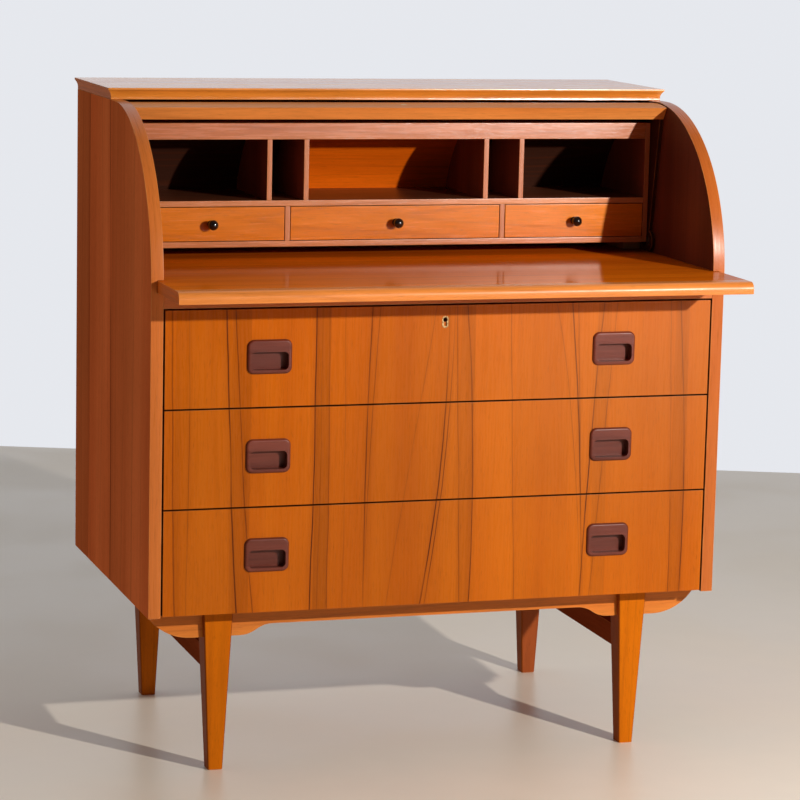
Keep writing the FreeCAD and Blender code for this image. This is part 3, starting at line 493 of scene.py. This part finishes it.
def veneer(name, axis, origin, foot, top, leaves, streaks, dark, light, line, gloss, sheen, glare=0.0):
    """Upright leaves across X or Y, in millimetres from origin, with streaks between two heights."""
    material, tree, shader, place = new_finish(name)
    stripes, lines, fibres, pores = teak_parts(tree, place, "Z")
    split = apart(tree, place)
    waver = noise(tree, stretched(tree, place, WAVER_STRETCH), *WAVER_NOISE)
    offset = math_node(tree, "MULTIPLY_ADD", waver, WAVER_REACH, -origin - WAVER_REACH / 2)
    across = math_node(tree, "ADD", split[axis], offset)
    rise = math_node(tree, "SUBTRACT", split["Z"], (foot + top) / 2)
    rise = math_node(tree, "DIVIDE", rise, (top - foot) / 2)
    shade = all_streaks(tree, place, across, rise, streaks)
    tones = leaf_tones(tree, across, leaves)
    colour = blend(tree, fade(tree, stripes, *STRIPE_SPAN), dark, light)
    colour = blend(tree, 1.0, colour, tones, "MULTIPLY")
    colour = shaded(tree, colour, fibres, pores, place, lines, line, VENEER_LINE_DEPTH, VENEER_FIBRE_DEPTH)
    colour = blend(tree, shade, colour, line)
    # Painted reflection: a pale glare laid over the fronts towards the upper right.
    if glare:
        glare_mask = times(tree, fade(tree, split["X"], *GLARE_ACROSS), fade(tree, split["Z"], foot, top))
        colour = blend(tree, times(tree, glare_mask, glare), colour, WINDOW_GLARE)
    finish_wood(tree, shader, colour, fibres, pores, gloss, sheen)
    return material


front_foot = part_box("drawer_3_front")[0].z
front_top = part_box("drawer_1_front")[1].z
case_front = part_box("left_gable")[0].y
gable_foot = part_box("left_gable")[0].z
gable_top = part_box("left_gable")[1].z
WOODS["front"] = veneer("drawer_veneer", "X", 0.0, front_foot, front_top, FRONT_LEAVES, FRONT_STREAKS,
                        paint(181, 87, 2), paint(198, 102, 8), STREAK_DARK,
                        gloss=0.27, sheen=0.13, glare=0.36)
WOODS["gable"] = veneer("gable_veneer", "Y", case_front, gable_foot, gable_top, GABLE_LEAVES, GABLE_STREAKS,
                        paint(208, 100, 52), paint(227, 118, 65), paint(96, 38, 20), gloss=0.50, sheen=0.0)
# Painted shade: the inner faces of the gables take the same veneer in darker tones.
WOODS["gable_inside"] = veneer("gable_inside_veneer", "Y", case_front, gable_foot, gable_top,
                               GABLE_LEAVES, GABLE_STREAKS, paint(100, 50, 34), paint(124, 64, 44),
                               paint(60, 26, 16), gloss=0.45, sheen=0.1)
print("veneers with", len(FRONT_STREAKS), "and", len(GABLE_STREAKS), "streaks")

# %% [markdown]
# ## Metal and black lacquer
# The keyhole liners are pale brass worn dull, the lock and the pivots are plain steel, and the little knobs
# are turned wood under glossy black lacquer. Small parts still need variation: a fine noise breaks the
# gloss, so a highlight never looks like plastic.

# %% Metal and lacquer
WEAR_NOISE, WEAR_SPAN = (220.0, 3.0), (0.35, 0.65)
SCRATCH_STRETCH, SCRATCH_NOISE = (1, 1, 0.1), (3000.0, 2.0)
SCRATCH_DOWN, SCRATCH_UP, SCRATCH_STRENGTH = 0.08, 0.12, 0.06
TURNED_STRETCH, TURNED_NOISE, TURNED_STRENGTH = (0.2, 1, 0.2), (900.0, 2.0), 0.05
LACQUER_NOISE, LACQUER_ROUGH = (160.0, 2.0), (0.14, 0.26)
LACQUER_COAT, LACQUER_COAT_ROUGH = 0.6, 0.08
MIDDLE_SPAN = (0.3, 0.7)
SMALL_HEIGHT = 0.0002
DULL_METAL = 0.4


def metal(name, colour, worn, gloss):
    """A bare metal with darker worn patches and fine scratches."""
    material, tree, shader, place = new_finish(name)
    patches = fade(tree, noise(tree, place, *WEAR_NOISE), *WEAR_SPAN)
    scratches = noise(tree, stretched(tree, place, SCRATCH_STRETCH), *SCRATCH_NOISE)
    rough = fade(tree, scratches, *MIDDLE_SPAN, gloss - SCRATCH_DOWN, gloss + SCRATCH_UP)
    tree.links.new(blend(tree, patches, colour, worn), shader.inputs["Base Color"])
    tree.links.new(rough, shader.inputs["Roughness"])
    relief(tree, shader, scratches, SCRATCH_STRENGTH, SMALL_HEIGHT)
    shader.inputs["Metallic"].default_value = 1.0
    return material


def black_lacquer(name):
    """Glossy black over turned wood, with the faint rings that the lathe leaves."""
    material, tree, shader, place = new_finish(name)
    rings = noise(tree, stretched(tree, place, TURNED_STRETCH), *TURNED_NOISE)
    cloud = fade(tree, noise(tree, place, *LACQUER_NOISE), *MIDDLE_SPAN)
    black = blend(tree, cloud, paint(18, 12, 11), paint(38, 26, 22))
    tree.links.new(black, shader.inputs["Base Color"])
    tree.links.new(fade(tree, rings, *MIDDLE_SPAN, *LACQUER_ROUGH), shader.inputs["Roughness"])
    relief(tree, shader, rings, TURNED_STRENGTH, SMALL_HEIGHT)
    shader.inputs["Coat Weight"].default_value = LACQUER_COAT
    shader.inputs["Coat Roughness"].default_value = LACQUER_COAT_ROUGH
    return material


METALS = {
    "brass": metal("liner_brass", paint(176, 146, 104), paint(120, 88, 56), gloss=0.40),
    "pale_brass": metal("lid_liner_brass", paint(238, 200, 150), paint(214, 168, 116), gloss=0.55),
    "steel": metal("plain_steel", paint(176, 174, 170), paint(120, 116, 110), gloss=0.38),
}
LACQUER = black_lacquer("black_lacquer")
surface_of(METALS["pale_brass"])["Metallic"].default_value = DULL_METAL
print(len(METALS), "metals and a lacquer")

# %% [markdown]
# ## Easing the edges
# No real board ends in a knife edge: a joiner breaks every arris with a pass of sandpaper, and that thin
# round is what catches the light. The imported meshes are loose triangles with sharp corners. For each board
# that shows, a copy is welded, its flat faces are joined, and its sharp edges are bevelled, and the copy
# stands for the board.

# %% Easing tools
WELD = 0.00001
FLAT = math.radians(0.6)
SHARP = math.radians(28)
BOARD_ARRIS, GABLE_ARRIS, SLAB_ARRIS = 0.7 * MM, 1.0 * MM, 0.8 * MM
LEG_ARRIS, LINER_ARRIS = 1.2 * MM, 0.35 * MM
BOARD_STEPS, LEG_STEPS = 2, 3


def alone(piece):
    """Select one object and make it active."""
    bpy.ops.object.select_all(action="DESELECT")
    piece.select_set(True)
    bpy.context.view_layer.objects.active = piece


def dressed(piece, node, *materials):
    """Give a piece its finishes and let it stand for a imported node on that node's body."""
    piece.data.materials.clear()
    for material in materials:
        piece.data.materials.append(material)
    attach(piece, body_of[node])
    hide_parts(node)
    return piece


def welded(node, name):
    """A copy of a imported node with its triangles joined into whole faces."""
    piece = bpy.data.objects.new(name, nodes[node].data.copy())
    bpy.context.scene.collection.objects.link(piece)
    alone(piece)
    bpy.ops.mesh.customdata_custom_splitnormals_clear()
    bpy.ops.object.mode_set(mode="EDIT")
    bpy.ops.mesh.select_all(action="SELECT")
    bpy.ops.mesh.remove_doubles(threshold=WELD)
    bpy.ops.mesh.dissolve_limited(angle_limit=FLAT)
    bpy.ops.object.mode_set(mode="OBJECT")
    return piece


def eased(piece, width, steps=BOARD_STEPS):
    """Round the sharp edges of a piece, keep its flats level and mark the rounds as worn."""
    alone(piece)
    piece.data.materials.clear()
    for name in ("flat", "arris"):
        piece.data.materials.append(bpy.data.materials.get(name) or bpy.data.materials.new(name))
    bevel = piece.modifiers.new("arris", "BEVEL")
    bevel.width = width
    bevel.segments = steps
    bevel.limit_method = "ANGLE"
    bevel.angle_limit = SHARP
    bevel.material = 1
    bpy.ops.object.modifier_apply(modifier=bevel.name)
    bpy.ops.object.shade_smooth_by_angle(angle=SHARP)
    level = piece.modifiers.new("level", "WEIGHTED_NORMAL")
    level.keep_sharp = True
    bpy.ops.object.modifier_apply(modifier=level.name)
    worn = piece.data.attributes.new("worn", "FLOAT", "FACE")
    for face in piece.data.polygons:
        worn.data[face.index].value = face.material_index
        face.material_index = 0
    return piece


def eased_board(node, wood):
    """The usual board: welded, eased and finished in one wood."""
    return dressed(eased(welded(node, node + "_board"), BOARD_ARRIS), node, WOODS[wood])


print("arris of a board", round(BOARD_ARRIS / MM, 2), "mm, of a leg", round(LEG_ARRIS / MM, 2), "mm")

# %% [markdown]
# ## Boards
# Most boards are finished in one wood all over. A few show a second one: the edges of the drawer fronts are
# painted dark as painted shade in the gaps, the top's ends show end grain, and the boards of the pigeonholes
# are painted darker behind their front edges as painted shade.
# The way that a face looks says which wood it takes.

# %% Boards
BOARDS = {
    "top": ("top_board",),
    "rail": ("front_rail",),
    "apron": ("front_apron", "rear_apron"),
    "stretcher": ("left_stretcher", "right_stretcher"),
    "lid_rail": ("lid_rail",),
    "lid": ("lid_panel",),
    "cheek": ("lid_left_cheek", "lid_right_cheek"),
    "unit": ("unit_fascia", "unit_shelf", "unit_bottom"),
    "upright": ("unit_left_side", "unit_right_side", "unit_left_dividers", "unit_right_dividers",
                "unit_partitions"),
    "front": ("drawer_1_front", "drawer_2_front", "drawer_3_front"),
    "small_front": ("left_small_drawer_front", "middle_small_drawer_front", "right_small_drawer_front"),
}
SIDEWAYS = 0.5
# The second number is a wear mark strong enough to paint a highlight along the drawer fronts' upper arris.
ARRIS_UP, ARRIS_HIGHLIGHT = 0.2, 2.2


def second_wood(piece, wood, takes_it):
    """Add a second wood to a piece and give it to the faces that pass a test."""
    piece.data.materials.append(WOODS[wood])
    for face in piece.data.polygons:
        face.material_index = 1 if takes_it(face) else 0


def looks_sideways(face):
    """A face that looks to the left or to the right."""
    return abs(face.normal.x) > SIDEWAYS


def behind_front(face):
    """A face that doesn't look forward."""
    return not face.normal.y < -SIDEWAYS


def highlit_upper_arris(face):
    """A face of the round along a front's upper edge, which takes a painted highlight."""
    return face.normal.z > ARRIS_UP and face.normal.y < -ARRIS_UP


for wood, names in BOARDS.items():
    for node in names:
        eased_board(node, wood)
# Painted shade: the fronts' edges, which lie in the dark gaps, take a dark wood.
for node in BOARDS["front"]:
    front = bpy.data.objects[node + "_board"]
    second_wood(front, "front_edge_shade", lambda face: behind_front(face) and not highlit_upper_arris(face))
    # Painted highlight: the upper arris of each front is given a strong wear mark, so it shows pale.
    for face in filter(highlit_upper_arris, front.data.polygons):
        front.data.attributes["worn"].data[face.index].value = ARRIS_HIGHLIGHT
second_wood(bpy.data.objects["top_board_board"], "end", looks_sideways)
# Painted shade: the pigeonhole boards are darker behind their front edges, where they lie in shadow.
for node in BOARDS["upright"]:
    second_wood(bpy.data.objects[node + "_board"], "inside", behind_front)
second_wood(bpy.data.objects["unit_shelf_board"], "shelf", behind_front)
print("eased", sum(len(names) for names in BOARDS.values()), "boards")

# %% [markdown]
# ## Gables
# Each gable is a veneered panel with a solid lipping glued round its edge, so the edge is paler than the
# face and its grain follows the curve. The veneer inside is painted darker as painted shade. Three materials
# on one piece show that: the faces that look outward and inward take their own veneers, and every other face
# takes the edge wood.

# %% Gables
for side, outward in (("left", -1), ("right", 1)):
    gable = eased(welded(side + "_gable", side + "_gable_board"), GABLE_ARRIS)
    # The inner faces take the veneer that is painted darker as painted shade.
    dressed(gable, side + "_gable", WOODS["gable"], WOODS["edge"], WOODS["gable_inside"])
    for face in gable.data.polygons:
        lean = face.normal.x * outward
        face.material_index = 0 if lean > SIDEWAYS else 2 if lean < -SIDEWAYS else 1
print("gables with", len(gable.data.polygons), "faces each")

# %% [markdown]
# ## Writing slab
# The slab is a veneered board with a solid nosing along its front, shaped to a soft round. The nosing is
# paler, and its end grain shows at both ends. The board is cut once across with a bisect, so that the faces
# in front of the cut can take the nosing's wood. A thin coat of polish lies over the slab's lacquer.

# %% Writing slab
NOSING_DEPTH = 28 * MM
POLISH, POLISH_ROUGH = 0.32, 0.10

surface_of(WOODS["slab"])["Coat Weight"].default_value = POLISH
surface_of(WOODS["slab"])["Coat Roughness"].default_value = POLISH_ROUGH
slab = welded("writing_slab", "slab_board")
nosing_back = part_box("writing_slab")[0].y + NOSING_DEPTH
bpy.ops.object.mode_set(mode="EDIT")
bpy.ops.mesh.select_all(action="SELECT")
bpy.ops.mesh.bisect(plane_co=(0, nosing_back, 0), plane_no=(0, 1, 0))
bpy.ops.object.mode_set(mode="OBJECT")
eased(slab, SLAB_ARRIS)
dressed(slab, "writing_slab", WOODS["slab"], WOODS["nosing"], WOODS["slab_end"])
for face in slab.data.polygons:
    face.material_index = 2 if looks_sideways(face) else 1 if face.center.y < nosing_back else 0
print("slab", [round(side, 3) for side in slab.dimensions])

# %% [markdown]
# ## Legs
# The legs are solid teak, square and tapered, and brighter than the veneer. They carry rounder edges than
# the boards, because hands and feet wear them. Their sides are painted darker than their fronts as painted
# shade, and the rear right leg, which stands in the shadow of the case, is painted darker and redder as
# painted shade.

# %% Legs
for row in ("front", "rear"):
    for side in ("left", "right"):
        node = f"{row}_{side}_leg"
        # Painted shade: the rear right leg takes a darker wood, and every leg's sides a darker one.
        wood = "rear_leg_shade" if node == "rear_right_leg" else "leg"
        post = dressed(eased(welded(node, node + "_post"), LEG_ARRIS, LEG_STEPS), node, WOODS[wood])
        second_wood(post, "leg_side_shade", looks_sideways)
print("four legs with", len(post.data.polygons), "faces each")

# %% [markdown]
# ## Recessed pulls
# Each large drawer has two dark wooden pulls that stand a little proud of its front. A pull is a block with
# a finger cup that is undercut behind a lip, and its outer rim is well rounded, because it is shaped by a
# cutter. A face with a hole in it doesn't bevel cleanly. So the front is taken off, closed over the cup
# with one plain face while the rim is bevelled, and then opened again and bridged from the rim to the mouth
# of the cup.

# %% Recessed pulls
PULL_ROUND, PULL_STEPS = 3.4 * MM, 5
CUP_ROUND, CUP_STEPS = 0.8 * MM, 3
CUP_ACROSS, CUP_LOW, CUP_HIGH = 30 * MM, -21 * MM, 10 * MM
HALF_PULL = 34 * MM
PULL_PLACE = (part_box("drawer_2_pulls")[1].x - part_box("drawer_2_pulls")[0].x) / 2 - HALF_PULL


def nothing_picked(kind):
    """Clear the selection of a mesh, ready for its faces or edges to be picked by a test."""
    bpy.ops.object.mode_set(mode="EDIT")
    bpy.ops.mesh.select_mode(type=kind)
    bpy.ops.mesh.select_all(action="DESELECT")
    bpy.ops.object.mode_set(mode="OBJECT")


def fronts_off(piece, face_y):
    """Delete the faces that lie in the front plane."""
    nothing_picked("FACE")
    for face in piece.data.polygons:
        face.select = all(abs(piece.data.vertices[index].co.y - face_y) < WELD for index in face.vertices)
    bpy.ops.object.mode_set(mode="EDIT")
    bpy.ops.mesh.delete(type="FACE")
    bpy.ops.object.mode_set(mode="OBJECT")


def pick_edges(piece, wanted):
    """Go into edit mode with only the edges selected whose two ends pass a test."""
    nothing_picked("EDGE")
    for edge in piece.data.edges:
        edge.select = all(wanted(piece.data.vertices[index].co) for index in edge.vertices)
    bpy.ops.object.mode_set(mode="EDIT")


for number in (1, 2, 3):
    node = f"drawer_{number}_pulls"
    blocks = welded(node, node + "_blocks")
    face_y = min(vertex.co.y for vertex in blocks.data.vertices)
    middle_z = (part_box(node)[0].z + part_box(node)[1].z) / 2

    def at_front(spot, side=0):
        """A spot in the front plane, of one pull or of both."""
        return abs(spot.y - face_y) < WELD and spot.x * side >= 0

    def at_rim(spot, side=0):
        """A spot in the front plane that is outside the cup's mouth."""
        in_cup = abs(abs(spot.x) - PULL_PLACE) < CUP_ACROSS and CUP_LOW < spot.z - middle_z < CUP_HIGH
        return at_front(spot, side) and not in_cup

    fronts_off(blocks, face_y)
    for side in (-1, 1):
        pick_edges(blocks, lambda spot: at_rim(spot, side))
        bpy.ops.mesh.edge_face_add()
    pick_edges(blocks, at_rim)
    bpy.ops.mesh.bevel(offset=PULL_ROUND, segments=PULL_STEPS, affect="EDGES")
    bpy.ops.object.mode_set(mode="OBJECT")
    fronts_off(blocks, face_y)
    for side in (-1, 1):
        pick_edges(blocks, lambda spot: at_front(spot, side))
        bpy.ops.mesh.bridge_edge_loops()
    bpy.ops.object.mode_set(mode="OBJECT")
    dressed(eased(blocks, CUP_ROUND, CUP_STEPS), node, WOODS["pull"])
    for mark in blocks.data.attributes["worn"].data:
        mark.value = 0.0
print("six pulls with", len(blocks.data.polygons) // 2, "faces each")

# %% [markdown]
# ## Turned knobs
# A turned knob is a profile swept round an axis. The profile of foot, neck and ball is drawn as a line of
# vertices and spun a full turn, which is what a lathe does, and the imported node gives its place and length.
# Each step of the profile is a share of the knob's length and a share of its radius.

# %% Turned knobs
KNOB_PROFILE = ((0.0, 0.78), (0.06, 0.78), (0.10, 0.62), (0.20, 0.47), (0.32, 0.46), (0.40, 0.62),
                (0.50, 0.86), (0.60, 0.98), (0.68, 1.0), (0.77, 0.95), (0.87, 0.76), (0.95, 0.45),
                (1.0, 0.0))
KNOB_STEPS = 32
KNOB_SHARP = math.radians(50)


def knob(node):
    """Spin the knob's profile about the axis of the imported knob."""
    low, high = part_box(node)
    centre = (low + high) / 2
    radius = (high.z - low.z) / 2
    length = high.y - low.y
    bpy.ops.mesh.primitive_circle_add(vertices=len(KNOB_PROFILE), location=(0, 0, 0))
    piece = bpy.context.active_object
    piece.name = node + "_turning"
    for vertex, (along, out) in zip(piece.data.vertices, KNOB_PROFILE):
        vertex.co = (centre.x + out * radius, high.y - along * length, centre.z)
    nothing_picked("EDGE")
    ends = {0, len(KNOB_PROFILE) - 1}
    for edge in piece.data.edges:
        edge.select = set(edge.vertices) == ends
    bpy.ops.object.mode_set(mode="EDIT")
    bpy.ops.mesh.delete(type="EDGE")
    bpy.ops.mesh.select_mode(type="VERT")
    bpy.ops.mesh.select_all(action="SELECT")
    bpy.ops.mesh.spin(steps=KNOB_STEPS, angle=2 * math.pi, center=centre, axis=(0, 1, 0))
    bpy.ops.mesh.select_all(action="SELECT")
    bpy.ops.mesh.remove_doubles(threshold=WELD)
    bpy.ops.mesh.select_all(action="DESELECT")
    bpy.ops.mesh.select_non_manifold()
    bpy.ops.mesh.edge_face_add()
    bpy.ops.mesh.select_all(action="SELECT")
    bpy.ops.mesh.normals_make_consistent(inside=False)
    bpy.ops.object.mode_set(mode="OBJECT")
    bpy.ops.object.shade_smooth_by_angle(angle=KNOB_SHARP)
    return dressed(piece, node, LACQUER)


for spot in ("left", "middle", "right"):
    turned = knob(f"{spot}_small_drawer_knob")
print("knobs of", len(turned.data.polygons), "faces")

# %% [markdown]
# ## Liners and hidden pieces
# The keyhole liners are eased like the boards, only finer. Pieces inside the case keep their imported meshes
# and take a finish: pale wood for the drawer boxes and runners, thin ply for the bottoms, steel for pins and
# lock, and teak with painted shade at its sides for the back of the pigeonholes.

# %% Liners and hidden pieces
for node, finish in (("keyhole_liner", "brass"), ("lid_keyhole_liner", "pale_brass")):
    dressed(eased(welded(node, node + "_rim"), LINER_ARRIS), node, METALS[finish])

HIDDEN = (
    (WOODS["back"], ("back_panel", "bottom_board")),
    (WOODS["unit"], ("unit_top",)),
    (WOODS["drawer_box"], tuple(node for node in nodes if node.endswith("_box"))),
    (WOODS["drawer_box"], ("drawer_runners", "unit_bearers")),
    (WOODS["ply"], ("drawer_1_bottom", "drawer_2_bottom", "drawer_3_bottom")),
    (UNIT_BACK, ("unit_back",)),
    (METALS["steel"], ("lid_pivot_pins", "lid_bushes", "lock_case", "lock_bolt")),
)
for finish, names in HIDDEN:
    for node in names:
        nodes[node].data.materials.clear()
        nodes[node].data.materials.append(finish)
print("finished", sum(len(names) for finish, names in HIDDEN), "pieces that keep their packed meshes")

# %% [markdown]
# ## Floor
# The desk stands on a plain pale floor that ends a couple of metres behind it, in front of a pale wall. The
# line where it ends is given by two points, and the floor reaches forward from that line. It is a little
# glossy, so the legs are faintly mirrored in it.

# %% Floor
FLOOR_BACK = (Vector((-0.165, 2.596, 0)), Vector((1.585, 1.914, 0)))
FLOOR_REACH = 14.0
FLOOR_CORNERS = ((-1, 1), (1, 1), (-1, 0), (1, 0))
FLOOR_NOISE, FLOOR_ROUGH, FLOOR_SHEEN = (1.6, 4.0, 0.6), (0.30, 0.42), 0.3

bpy.ops.mesh.primitive_plane_add(size=FLOOR_REACH)
floor = bpy.context.active_object
floor.name = "floor"
edge = (FLOOR_BACK[1] - FLOOR_BACK[0]).normalized()
inward = Vector((edge.y, -edge.x, 0))
middle = (FLOOR_BACK[0] + FLOOR_BACK[1]) / 2
for vertex, (along, depth) in zip(floor.data.vertices, FLOOR_CORNERS):
    vertex.co = middle + edge * along * FLOOR_REACH + inward * depth * FLOOR_REACH
material, tree, shader, place = new_finish("pale_floor")
cloud = fade(tree, noise(tree, place, *FLOOR_NOISE), *MIDDLE_SPAN)
pale = blend(tree, cloud, paint(229, 218, 202), paint(239, 229, 214))
tree.links.new(pale, shader.inputs["Base Color"])
tree.links.new(fade(tree, cloud, 0.0, 1.0, *FLOOR_ROUGH), shader.inputs["Roughness"])
shader.inputs["Specular IOR Level"].default_value = FLOOR_SHEEN
floor.data.materials.append(material)
print("floor ends", round(middle.y, 2), "m behind the middle of the desk")

# %% [markdown]
# ## Light
# A low key light comes from the right and in front, as from a tall window, and the pale surround fills the
# shadows. The surround is bright where it is seen or mirrored, and dimmer where it only adds soft light. A
# bright window to the right of the camera shows only in what is glossy. Each fade below runs along one part
# of a direction: X to the right, Y to the back and Z up.

# %% Light
KEY_PLACE = Vector((1.22, -2.32, 1.36))
KEY_TARGET = Vector((0, -0.2, 0.6))
KEY_POWER, KEY_SIZE, KEY_COLOUR = 68, 0.06, (1.0, 0.95, 0.88)
SURROUND, WARM_FILL = (0.93, 0.95, 1.0, 1), (1.0, 0.96, 0.92, 1)
SEEN = 0.85
FILL_TURN, FRONT_FILL, FILL = (-0.7, 0.2), 0.07, 0.42
MIRROR_TURN, FRONT_MIRRORED = (0.2, 0.6), 0.03
LOW_TURN, LOW_SHARE = (-0.12, 0.05), 0.35
WINDOW = 7.0
WINDOW_LEFT, WINDOW_FRONT = (0.285, 0.37), (-0.85, -0.65)
WINDOW_SILL, WINDOW_HEAD = (-0.19, -0.06), (0.08, 0.20)
MIX_AMOUNT, MIX_FIRST, MIX_SECOND = 0, 2, 3

bpy.ops.object.light_add(type="AREA", location=KEY_PLACE)
key = bpy.context.active_object
key.rotation_euler = (KEY_TARGET - KEY_PLACE).to_track_quat("-Z", "Y").to_euler()
key.data.shape = "DISK"
key.data.size = KEY_SIZE
key.data.energy = KEY_POWER
key.data.color = KEY_COLOUR
bpy.context.scene.view_settings.view_transform = "Standard"

world = bpy.data.worlds.new("pale_surround")
bpy.context.scene.world = world
world.use_nodes = True
tree = world.node_tree
tree.nodes.clear()
rays = add(tree, "ShaderNodeLightPath").outputs
way = apart(tree, add(tree, "ShaderNodeTexCoord").outputs["Generated"])
fill = fade(tree, way["Y"], *FILL_TURN, FRONT_FILL, FILL)
mirrored = fade(tree, way["Y"], *MIRROR_TURN, FRONT_MIRRORED, 1.0)
mirrored = times(tree, mirrored, fade(tree, way["Z"], *LOW_TURN, LOW_SHARE, 1.0))
window = times(tree, fade(tree, way["X"], *WINDOW_LEFT), fade(tree, way["Y"], *WINDOW_FRONT, WINDOW, 0.0))
window = times(tree, window, fade(tree, way["Z"], *WINDOW_SILL))
window = times(tree, window, fade(tree, way["Z"], *WINDOW_HEAD, 1.0, 0.0))
mirrored = math_node(tree, "ADD", mirrored, window)
strength = fill
for kind, other in (("Is Glossy Ray", mirrored), ("Is Camera Ray", SEEN)):
    choice = {MIX_AMOUNT: rays[kind], MIX_FIRST: strength, MIX_SECOND: other}
    strength = add(tree, "ShaderNodeMix", choice).outputs[0]
tint = blend(tree, rays["Is Diffuse Ray"], SURROUND, WARM_FILL)
surround = add(tree, "ShaderNodeBackground", {"Color": tint, "Strength": strength})
add(tree, "ShaderNodeOutputWorld", {"Surface": surround.outputs[0]})
print("key light at", [round(part, 2) for part in key.location])
